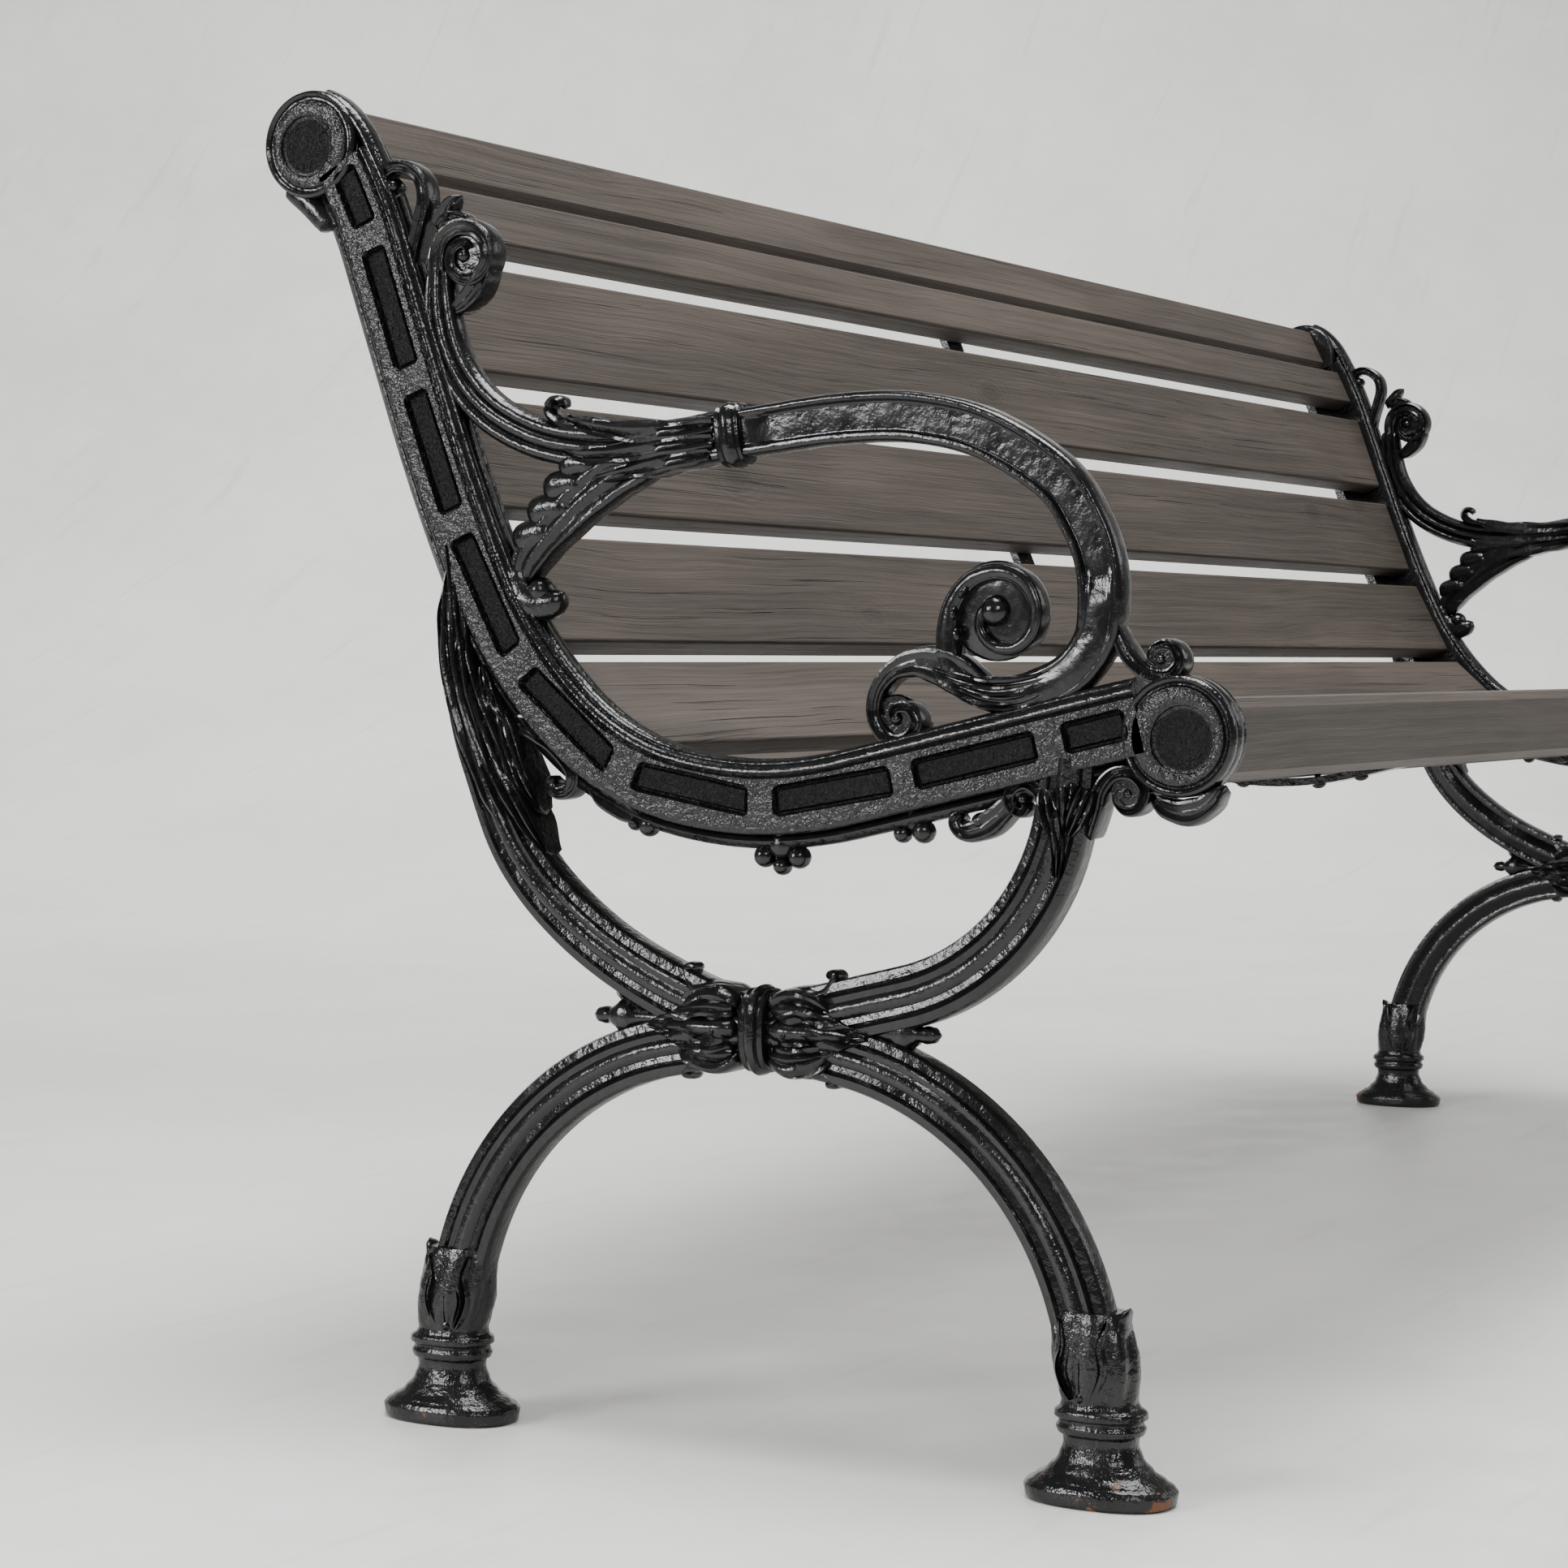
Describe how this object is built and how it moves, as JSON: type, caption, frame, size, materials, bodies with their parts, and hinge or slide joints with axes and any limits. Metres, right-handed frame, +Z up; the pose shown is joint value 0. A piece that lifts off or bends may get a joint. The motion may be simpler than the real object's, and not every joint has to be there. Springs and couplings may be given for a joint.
{
  "type": "garden bench",
  "caption": "Garden bench with boards on two curved cast-iron ends: scrolled arms, crossed legs on turned feet, and thick rails along the top of the back and the front of the seat.",
  "frame": {"origin": "on the ground under the middle of the whole bench", "axes": "+X along the seat, to the right of someone who faces the bench; -Y towards the front; +Z up"},
  "size_m": [1.868, 0.6611, 0.8299],
  "materials": {
    "black_iron": "thick glossy black paint over rough casting",
    "painted_wood": "matte weathered warm grey-brown paint with grain and cracks",
    "strap_iron": "black paint",
    "screw_steel": "dark painted steel"
  },
  "bodies": {
    "root": {"end_casting_left": "black_iron", "end_casting_right": "black_iron", "top_rail": "painted_wood", "front_rail": "painted_wood", "back_slat_1": "painted_wood", "back_slat_2": "painted_wood", "back_slat_3": "painted_wood", "back_slat_4": "painted_wood", "back_slat_5": "painted_wood", "seat_slat_1": "painted_wood", "seat_slat_2": "painted_wood", "seat_slat_3": "painted_wood", "seat_slat_4": "painted_wood", "centre_strap": "strap_iron", "strap_screws": "screw_steel", "ledge_screws_left": "screw_steel", "ledge_screws_right": "screw_steel"}
  },
  "joints": []
}
